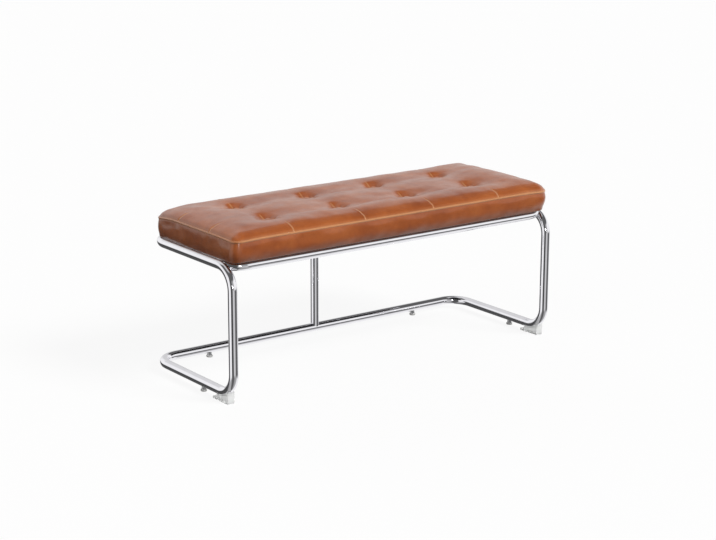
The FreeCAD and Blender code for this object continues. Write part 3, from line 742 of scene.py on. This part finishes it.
def sew_and_crease(cushion):
    """Fine forms that come after the swelling: seam grooves, puckers, pleats and slight unevenness."""
    mesh = cushion.data
    points = coordinates(mesh)
    normals = vertex_normals(mesh)
    on_top = get_attribute(mesh, TOP_MARK)
    x, y, z = points.T
    _, _, depth = round_corners(x, y)
    cross, length = seam_distances(x, y)
    reach, heading, nearest = tuft_range(x, y)
    outer_cross = ((y < TUFT_Y[0]) | (y > TUFT_Y[1])).astype(float)
    outer_length = (np.abs(x) > TUFT_X[-1]).astype(float)

    def near_seams(width):
        return bell(cross, width) * outer_cross + bell(length, width) * outer_length

    # Shape: the top's seams and folds, and the slack of the boxing band
    dart = 1 - np.where(outer_length > 0, ease(depth, *END_DART), ease(depth, *SIDE_DART))
    groove = GROOVE_DEPTH * dart * near_seams(GROOVE_WIDTH)
    pucker = PUCKER_DEPTH * dart * (
        bell(cross, PUCKER_WIDTH) * waves(points, PUCKER_LENGTH, CROSS_PUCKER_SEED)
        + bell(length, PUCKER_WIDTH) * waves(points, PUCKER_LENGTH, LENGTH_PUCKER_SEED))
    folds = pleats(reach, heading, nearest)
    uneven = ripples(points, TOP_RIPPLES) * ease(depth, *RIPPLE_FADE)
    top_shift = -groove + pucker * ease(depth, *SEAM_FADE) - PLEAT_DEPTH * folds + uneven
    on_band = ease(BORDER_Z - z, *SEAM_FADE) * ease(z, HEM_Z, HEM_Z + HEM_FADE)
    band_shift = ripples(points, BAND_RIPPLES) * on_band
    shift = top_shift * on_top + band_shift * (1 - on_top)
    set_coordinates(mesh, fill_out(points + normals * shift[:, None]))

    # Looks: pale paint on the raised lines, partly edge wear and partly painted highlight; painted shade in the
    # pits, in the pleats and at the hem
    rim = bell(depth, RIM_WIDTH) * on_top
    seam_line = ease(reach, *SEAM_CLEAR) * near_seams(SEAM_LINE) * on_top
    bowl = bell(cross, BOWL_LINE) * (1 - ease(reach, *BOWL_SPAN)) * on_top
    wear_and_highlight = RIM_WEAR_AND_HIGHLIGHT * rim + SEAM_WEAR_AND_HIGHLIGHT * seam_line * dart + BOWL_WEAR_AND_HIGHLIGHT * bowl
    pit = PIT_SHADE * bell(reach - PIT_RADIUS, PIT_WIDTH) * on_top
    creased = FOLD_SHADE * np.clip(folds, 0, 1) * on_top
    hem = HEM_SHADE * (1 - ease(z, HEM_Z, HEM_Z + HEM_SHADE_RISE)) * (1 - on_top)
    set_attribute(mesh, "wear_and_highlight", np.clip(wear_and_highlight, 0, 1))
    set_attribute(mesh, "shade", np.clip(pit + creased + hem, 0, MOST_SHADE))


def make_cushion():
    verts, faces, loop, grid = cushion_shell()
    top_count = grid[0] * grid[1]
    cushion = make_piece("seat_cushion", verts, faces, LEATHER)
    mark = np.zeros(len(verts))
    mark[:top_count] = 1
    set_attribute(cushion.data, TOP_MARK, mark)
    reach, _, _ = tuft_range(verts[:, 0], verts[:, 1])
    held = np.zeros(len(verts), bool)
    held[loop] = True
    held[:top_count] |= reach[:top_count] < TUFT_HOLD
    held |= verts[:, 2] < HEM_Z + HEM_HOLD
    swell(cushion, np.flatnonzero(held), grid)
    set_coordinates(cushion.data, settle_height(coordinates(cushion.data)))
    finer = cushion.modifiers.new("finer", "SUBSURF")
    finer.levels = 1
    finer.use_limit_surface = False
    bake_modifiers(cushion)
    sew_and_crease(cushion)
    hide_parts("top_cover", "boxing_band", "foam_core")
    return cushion


# Trim of the cushion

def outline(outset, height, step):
    """Points round the pad's border, about one step apart."""
    corners = [(1, PAD_FRONT, RIGHT_CORNER), (1, PAD_BACK, REAR_CORNER),
               (-1, PAD_BACK, REAR_CORNER), (-1, PAD_FRONT, LEFT_CORNER)]
    quarter = np.linspace(-math.pi / 2, 0, 9)
    points = []
    for turn, (side, edge, radius) in enumerate(corners):
        cx, cy = side * (PAD_END - radius), edge - math.copysign(radius, edge)
        reach = radius + outset
        for angle in quarter + turn * math.pi / 2:
            points.append((cx + reach * math.cos(angle), cy + reach * math.sin(angle)))
    ring = np.array(points + points[:1])
    run = np.concatenate([[0], np.cumsum(np.hypot(*np.diff(ring, axis=0).T))])
    count = round(run[-1] / step)
    spots = np.linspace(0, run[-1], count, endpoint=False)
    return np.stack([np.interp(spots, run, ring[:, 0]), np.interp(spots, run, ring[:, 1]),
                     np.full(count, height)], 1)


def closed_tube(path, radius, sides, wobble):
    """Ring-shaped tube round the pad; wobble swells it unevenly along its length."""
    ahead = np.roll(path, -1, 0) - np.roll(path, 1, 0)
    ahead /= np.linalg.norm(ahead, axis=1, keepdims=True)
    up = np.array([0, 0, 1])
    out = np.cross(ahead, up)
    swelling = (radius * (1 + wobble * waves(path, WOBBLE_LENGTH, WOBBLE_SEED)))[:, None]
    angles = np.arange(sides) * 2 * math.pi / sides
    verts = [path + (out * math.cos(angle) + up * math.sin(angle)) * swelling for angle in angles]
    index = np.arange(len(path) * sides).reshape(-1, sides)
    on, over = np.roll(index, -1, 0), np.roll(index, -1, 1)
    return np.stack(verts, 1).reshape(-1, 3), quads(index, on, np.roll(on, -1, 1), over)


def make_welt():
    path = outline(-WELT_INSET, BORDER_Z, WELT_STEP)
    verts, faces = closed_tube(path, WELT_RADIUS, WELT_SIDES, WELT_WOBBLE)
    verts = fill_out(verts)
    welt = make_piece("border_piping", verts, faces, LEATHER)
    # Painted highlight along the welt, less of it on the shaded left end
    wear_and_highlight = WELT_HIGHLIGHT - LEFT_WELT_HIGHLIGHT_LOSS * ease(-verts[:, 0], *LEFT_WELT_SPAN)
    set_attribute(welt.data, "wear_and_highlight", wear_and_highlight)
    set_attribute(welt.data, "shade", np.zeros(len(verts)))
    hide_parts("border_welt")


def lathe(profile, sides, pleat):
    """Surface of revolution about Z; pleat gathers its rim."""
    verts = []
    angles = np.arange(sides) * 2 * math.pi / sides
    for radius, height in profile:
        gathered = radius * (1 + pleat * np.cos(angles * sides / 2) * (radius > profile[-1][0]))
        x, y = gathered * np.cos(angles), gathered * np.sin(angles)
        verts.append(np.stack([x, y, np.full(sides, height)], 1))
    faces = ring_faces(len(profile), sides)
    last = (len(profile) - 1) * sides
    faces.append(list(range(last, last + sides)))
    faces.append(list(range(sides))[::-1])
    return np.concatenate(verts), faces


def make_buttons():
    """Covered buttons, gathered a little at their edge."""
    low, high = BUTTON_LOW.z, BUTTON_HIGH.z
    radius = BUTTON_RADIUS - BUTTON_SLACK
    dome = high - low - BUTTON_EDGE
    profile = [(radius * BUTTON_FOOT, 0.0), (radius, BUTTON_EDGE / 2)]
    for turn in np.linspace(0, math.pi / 2, 8)[:-1]:
        profile.append((radius * math.cos(turn) ** BUTTON_DOME_POWER, BUTTON_EDGE + dome * math.sin(turn)))
    parts = []
    for tx in TUFT_X:
        for ty in TUFT_Y:
            verts, faces = lathe(profile, BUTTON_SIDES, BUTTON_PLEAT)
            parts.append((verts + [tx, ty, low + BUTTON_LIFT], faces))
    verts, faces = merged(parts)
    buttons = make_piece("covered_buttons", verts, faces, LEATHER)
    rise = (verts[:, 2] - low - BUTTON_LIFT) / (high - low)
    # Painted highlight on the buttons' tops and painted shade round their base
    set_attribute(buttons.data, "wear_and_highlight", 0.3 * ease(rise, 0.6, 1.0))
    set_attribute(buttons.data, "shade", 0.5 * (1 - ease(rise, 0.1, 0.6)))
    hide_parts("tuft_buttons")


def stitch(start, end, normal, radius):
    """One stitch: a short round strand that dips in at both ends."""
    along = end - start
    side = along.cross(normal).normalized()
    verts, sides = [], 6
    stations = ((0.0, 0.25, -0.9), (0.12, 0.8, 0.0), (0.5, 1.0, 0.35), (0.88, 0.8, 0.0), (1.0, 0.25, -0.9))
    for share, girth, lift in stations:
        centre = start + along * share + normal * radius * lift
        for k in range(sides):
            angle = 2 * math.pi * k / sides
            verts.append(centre + (side * math.cos(angle) + normal * math.sin(angle)) * radius * girth)
    return np.array([tuple(v) for v in verts]), ring_faces(len(stations), sides)


def seam_runs():
    """Start and end of each sewn line: darts at the border, and the seam through each tuft."""
    front, back = PAD_FRONT + SEAM_MARGIN, PAD_BACK - SEAM_MARGIN
    left = SEAM_MARGIN - PAD_END - BOW_AT_TUFTS * LEFT_BOW
    right = PAD_END + BOW_AT_TUFTS * RIGHT_BOW - SEAM_MARGIN
    near, far = TUFT_SEAM
    runs = []
    for tx in TUFT_X:
        runs.append(((tx, front), (tx, front + SIDE_SEAM)))
        runs.append(((tx, back), (tx, back - SIDE_SEAM)))
        for ty in TUFT_Y:
            runs.append(((tx, ty - near), (tx, ty - far)))
            runs.append(((tx, ty + near), (tx, ty + far)))
    for ty in TUFT_Y:
        runs.append(((left, ty), (left + END_SEAM, ty)))
        runs.append(((right, ty), (right - END_SEAM, ty)))
    return runs


def make_stitches(cushion):
    """Stitches along the seams, laid on the finished leather from above."""
    mesh = cushion.data
    skin = BVHTree.FromPolygons([v.co for v in mesh.vertices], [p.vertices for p in mesh.polygons])
    above, down, sampling = 0.6, Vector((0, 0, -1)), 0.001
    parts = []
    for (ax, ay), (bx, by) in seam_runs():
        count = int(np.hypot(bx - ax, by - ay) / sampling)
        track = []
        for share in np.linspace(0, 1, count):
            spot = Vector((ax + (bx - ax) * share, ay + (by - ay) * share, above))
            hit, normal, _, _ = skin.ray_cast(spot, down)
            track.append((hit, normal))
        done = [0.0]
        for (a, _), (b, _) in zip(track, track[1:]):
            done.append(done[-1] + (b - a).length)
        done = np.array(done)
        at = 0.0
        while at + STITCH_LENGTH < done[-1]:
            first, last = np.searchsorted(done, at), np.searchsorted(done, at + STITCH_LENGTH)
            (a, normal), (b, _) = track[first], track[last]
            parts.append(stitch(a, b, normal, THREAD_RADIUS))
            at += STITCH_LENGTH + STITCH_GAP
    verts, faces = merged(parts)
    make_piece("seam_stitches", verts, faces, THREAD)


def make_twine():
    """Twisted tie of each tuft, from its button down to the knot under the board."""
    low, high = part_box("tuft_ties")
    sides, turns = 8, 60
    rows = np.linspace(low.z, high.z, 45)
    angles = np.arange(sides) * 2 * math.pi / sides
    lobes = TWINE_RADIUS * (1 + 0.25 * np.cos(3 * angles))
    parts = []
    for tx in TUFT_X:
        for ty in TUFT_Y:
            verts = []
            for z in rows:
                knot = TWINE_KNOT if z < low.z + KNOT_HEIGHT else 1.0
                turn = angles + (z - low.z) * turns
                x, y = tx + knot * lobes * np.cos(turn), ty + knot * lobes * np.sin(turn)
                verts.append(np.stack([x, y, np.full(sides, z)], 1))
            parts.append((np.concatenate(verts), ring_faces(len(rows), sides)))
    verts, faces = merged(parts)
    twine = make_piece("tuft_twine", verts, faces, TWINE)
    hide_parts("tuft_ties")


# Underside

def make_lining():
    """Lining cloth drawn tight under the pad, with a slight sag between its fixings."""
    low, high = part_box("dust_cover")
    columns, rows = LINING_GRID
    xs, ys = np.linspace(low.x, high.x, columns), np.linspace(low.y, high.y, rows)
    x, y = (a.ravel() for a in np.meshgrid(xs, ys))
    inward = np.minimum(np.minimum(x - low.x, high.x - x), np.minimum(y - low.y, high.y - y))
    points = np.stack([x, y, np.zeros(len(x))], 1)
    sag = ease(inward, *LINING_TIGHT) * (LINING_SAG + ripples(points, LINING_RIPPLES))
    points[:, 2] = (low.z + high.z) / 2 - np.clip(sag, 0, None)
    index = np.arange(len(x)).reshape(rows, columns)
    faces = quads(index[:-1, :-1], index[1:, :-1], index[1:, 1:], index[:-1, 1:])
    lining = make_piece("lining_sheet", points, faces, lining_material())
    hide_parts("dust_cover")
    return low, high


def make_staples(low, high):
    """Wire staples round the lining's edge."""
    inset, pitch, half, wire = 0.017, 0.042, 0.005, 0.0004
    first, last = 0.05, 0.04
    spots = []
    for y in (low.y + inset, high.y - inset):
        for x in np.arange(low.x + first, high.x - last, pitch):
            spots.append((x, y, 1.0, 0.0))
    for x in (low.x + inset, high.x - inset):
        for y in np.arange(low.y + first, high.y - last, pitch):
            spots.append((x, y, 0.0, 1.0))
    parts = []
    for x, y, dx, dy in spots:
        centre = Vector((x, y, low.z - wire / 2))
        along = Vector((dx, dy, 0)) * half
        parts.append(stitch(centre - along, centre + along, Vector((0, 0, -1)), wire))
    verts, faces = merged(parts)
    make_piece("lining_staples", verts, faces, STEEL)


# Stage

def light_path_share(tree, names):
    """One value that is 1 for any of the named kinds of ray."""
    path = tree.nodes.new("ShaderNodeLightPath")
    total = path.outputs[names[0]]
    for name in names[1:]:
        most = tree.nodes.new("ShaderNodeMath")
        most.operation = "MAXIMUM"
        tree.links.new(total, most.inputs[0])
        tree.links.new(path.outputs[name], most.inputs[1])
        total = most.outputs[0]
    return total


def make_floor():
    """White floor that keeps the bench's shadow; little light comes back up, and it is clear from below."""
    mesh = bpy.data.meshes.new("floor")
    signs = ((-1, -1), (1, -1), (1, 1), (-1, 1))
    mesh.from_pydata([(x * FLOOR_HALF, y * FLOOR_HALF, 0) for x, y in signs], [], [(0, 1, 2, 3)])
    floor = bpy.data.objects.new("floor", mesh)
    bpy.context.scene.collection.objects.link(floor)
    floor.visible_glossy = False
    material = bpy.data.materials.new("pale_floor")
    material.use_nodes = True
    tree = material.node_tree
    tree.nodes.clear()
    seen = light_path_share(tree, ["Is Camera Ray", "Is Glossy Ray", "Is Transmission Ray"])
    share = tree.nodes.new("ShaderNodeMath")
    share.operation = "MULTIPLY"
    share.inputs[1].default_value = FLOOR_GLOW
    tree.links.new(seen, share.inputs[0])
    tone = tree.nodes.new("ShaderNodeMix")
    tone.data_type = "RGBA"
    tone.inputs[6].default_value = (FLOOR_GREY, FLOOR_GREY, FLOOR_GREY, 1)
    tone.inputs[7].default_value = (1, 1, 1, 1)
    tree.links.new(seen, tone.inputs[0])
    matt = tree.nodes.new("ShaderNodeBsdfDiffuse")
    tree.links.new(tone.outputs[2], matt.inputs["Color"])
    glow = tree.nodes.new("ShaderNodeEmission")
    mix = tree.nodes.new("ShaderNodeMixShader")
    out = tree.nodes.new("ShaderNodeOutputMaterial")
    tree.links.new(share.outputs[0], mix.inputs[0])
    tree.links.new(matt.outputs[0], mix.inputs[1])
    tree.links.new(glow.outputs[0], mix.inputs[2])
    below = tree.nodes.new("ShaderNodeNewGeometry").outputs["Backfacing"]
    clear = tree.nodes.new("ShaderNodeBsdfTransparent")
    either = tree.nodes.new("ShaderNodeMixShader")
    tree.links.new(below, either.inputs[0])
    tree.links.new(mix.outputs[0], either.inputs[1])
    tree.links.new(clear.outputs[0], either.inputs[2])
    tree.links.new(either.outputs[0], out.inputs["Surface"])
    mesh.materials.append(material)


def wall_ring(tree, around, stops):
    """Brightness of the studio round the bench, by compass angle."""
    ring = tree.nodes.new("ShaderNodeValToRGB")
    points = ring.color_ramp.elements
    for _ in stops[2:]:
        points.new(0.5)
    for point, (angle, value) in zip(points, stops):
        point.position = (angle + 180) / 360
        point.color = (value, value, value, 1)
    tree.links.new(around, ring.inputs["Fac"])
    return ring.outputs["Color"]


def blend_by_height(tree, height, low, high, lower, upper):
    """Goes over from one ring to the next between two heights of the view direction."""
    share = tree.nodes.new("ShaderNodeMapRange")
    share.interpolation_type = "SMOOTHSTEP"
    share.inputs["From Min"].default_value = low
    share.inputs["From Max"].default_value = high
    tree.links.new(height, share.inputs["Value"])
    mix = tree.nodes.new("ShaderNodeMix")
    mix.data_type = "RGBA"
    tree.links.new(share.outputs["Result"], mix.inputs[0])
    for socket, value in ((6, lower), (7, upper)):
        if isinstance(value, bpy.types.NodeSocket):
            tree.links.new(value, mix.inputs[socket])
        else:
            mix.inputs[socket].default_value = (value, value, value, 1)
    return mix.outputs[2]


def make_world():
    """White surroundings; reflections see a studio with a bright horizon and darker stretches."""
    world = bpy.data.worlds.new("studio")
    bpy.context.scene.world = world
    world.use_nodes = True
    tree = world.node_tree
    tree.nodes.clear()
    place = tree.nodes.new("ShaderNodeTexCoord").outputs["Generated"]
    gradient = tree.nodes.new("ShaderNodeTexGradient")
    gradient.gradient_type = "RADIAL"
    tree.links.new(place, gradient.inputs["Vector"])
    around = gradient.outputs["Fac"]
    split = tree.nodes.new("ShaderNodeSeparateXYZ")
    tree.links.new(place, split.inputs[0])
    height = split.outputs["Z"]
    steep, low, level, sky = (
        wall_ring(tree, around, stops) for stops in (STEEP_RING, LOW_RING, LEVEL_RING, SKY_RING))
    room = blend_by_height(tree, height, *STEEP_TO_LOW, steep, low)
    room = blend_by_height(tree, height, *LOW_TO_LEVEL, room, level)
    room = blend_by_height(tree, height, *LEVEL_TO_SKY, room, sky)
    room = blend_by_height(tree, height, *SKY_TO_ZENITH, room, ZENITH)
    mirrored = light_path_share(tree, ["Is Glossy Ray"])
    view = tree.nodes.new("ShaderNodeMix")
    view.data_type = "RGBA"
    view.inputs[6].default_value = (1, 1, 1, 1)
    tree.links.new(mirrored, view.inputs[0])
    tree.links.new(room, view.inputs[7])
    shown = tree.nodes.new("ShaderNodeBackground")
    tree.links.new(view.outputs[2], shown.inputs["Color"])
    ambient = tree.nodes.new("ShaderNodeBackground")
    ambient.inputs["Color"].default_value = (1.0, 0.99, 0.98, 1)
    ambient.inputs["Strength"].default_value = AMBIENT
    mix = tree.nodes.new("ShaderNodeMixShader")
    out = tree.nodes.new("ShaderNodeOutputWorld")
    seen = light_path_share(tree, ["Is Camera Ray", "Is Glossy Ray", "Is Transmission Ray"])
    tree.links.new(seen, mix.inputs[0])
    tree.links.new(ambient.outputs[0], mix.inputs[1])
    tree.links.new(shown.outputs[0], mix.inputs[2])
    tree.links.new(mix.outputs[0], out.inputs["Surface"])


def place_lamp(lamp, heading, distance):
    """Sets a lamp at a distance from the seat's middle, and turns it there."""
    placed = bpy.data.objects.new(lamp.name, lamp)
    bpy.context.scene.collection.objects.link(placed)
    towards = Vector(heading).normalized()
    placed.location = Vector(LAMP_AIM) + towards * distance
    placed.rotation_mode = "QUATERNION"
    placed.rotation_quaternion = towards.to_track_quat("Z", "Y")
    return placed


def make_soft_light(name, heading, spread, brightness):
    """Even soft light over the whole floor; brightness is what a white surface facing it shows."""
    lamp = bpy.data.lights.new(name, "SUN")
    lamp.angle = math.radians(spread)
    lamp.energy = brightness * math.pi
    place_lamp(lamp, heading, SUN_DISTANCE).visible_glossy = False


def make_lamp(name, heading, distance, size, brightness):
    """Round lamp that glossy surfaces show; brightness is what a white surface facing it shows."""
    lamp = bpy.data.lights.new(name, "AREA")
    lamp.shape = "DISK"
    lamp.size = size
    lamp.energy = brightness * (math.pi * distance) ** 2
    place_lamp(lamp, heading, distance)


def make_camera():
    data = bpy.data.cameras.new("photo_camera")
    data.sensor_fit = "HORIZONTAL"
    data.sensor_width = SENSOR_WIDTH
    data.lens = CAMERA_LENS
    data.clip_end = 100
    camera = bpy.data.objects.new("photo_camera", data)
    bpy.context.scene.collection.objects.link(camera)
    camera.location = CAMERA_PLACE
    camera.rotation_mode = "QUATERNION"
    level = Vector(CAMERA_AHEAD).to_track_quat("-Z", "Y")
    camera.rotation_quaternion = level @ Quaternion((0, 0, 1), CAMERA_ROLL)
    bpy.context.scene.camera = camera


make_camera()
dress_nodes()
seat = make_cushion()
make_welt()
make_buttons()
make_stitches(seat)
make_twine()
lining_low, lining_high = make_lining()
make_staples(lining_low, lining_high)
make_floor()
make_world()
make_soft_light("key", heading=(0.34, -0.69, 0.64), spread=22, brightness=0.77)
make_soft_light("back_fill", heading=(0.30, 0.85, 0.43), spread=40, brightness=0.18)
make_soft_light("left_fill", heading=(-0.80, -0.10, 0.60), spread=40, brightness=0.11)
make_lamp("corner", heading=(-0.42, -0.90, 0.12), distance=4.5, size=0.65, brightness=0.09)
bpy.context.scene.view_settings.view_transform = "Standard"
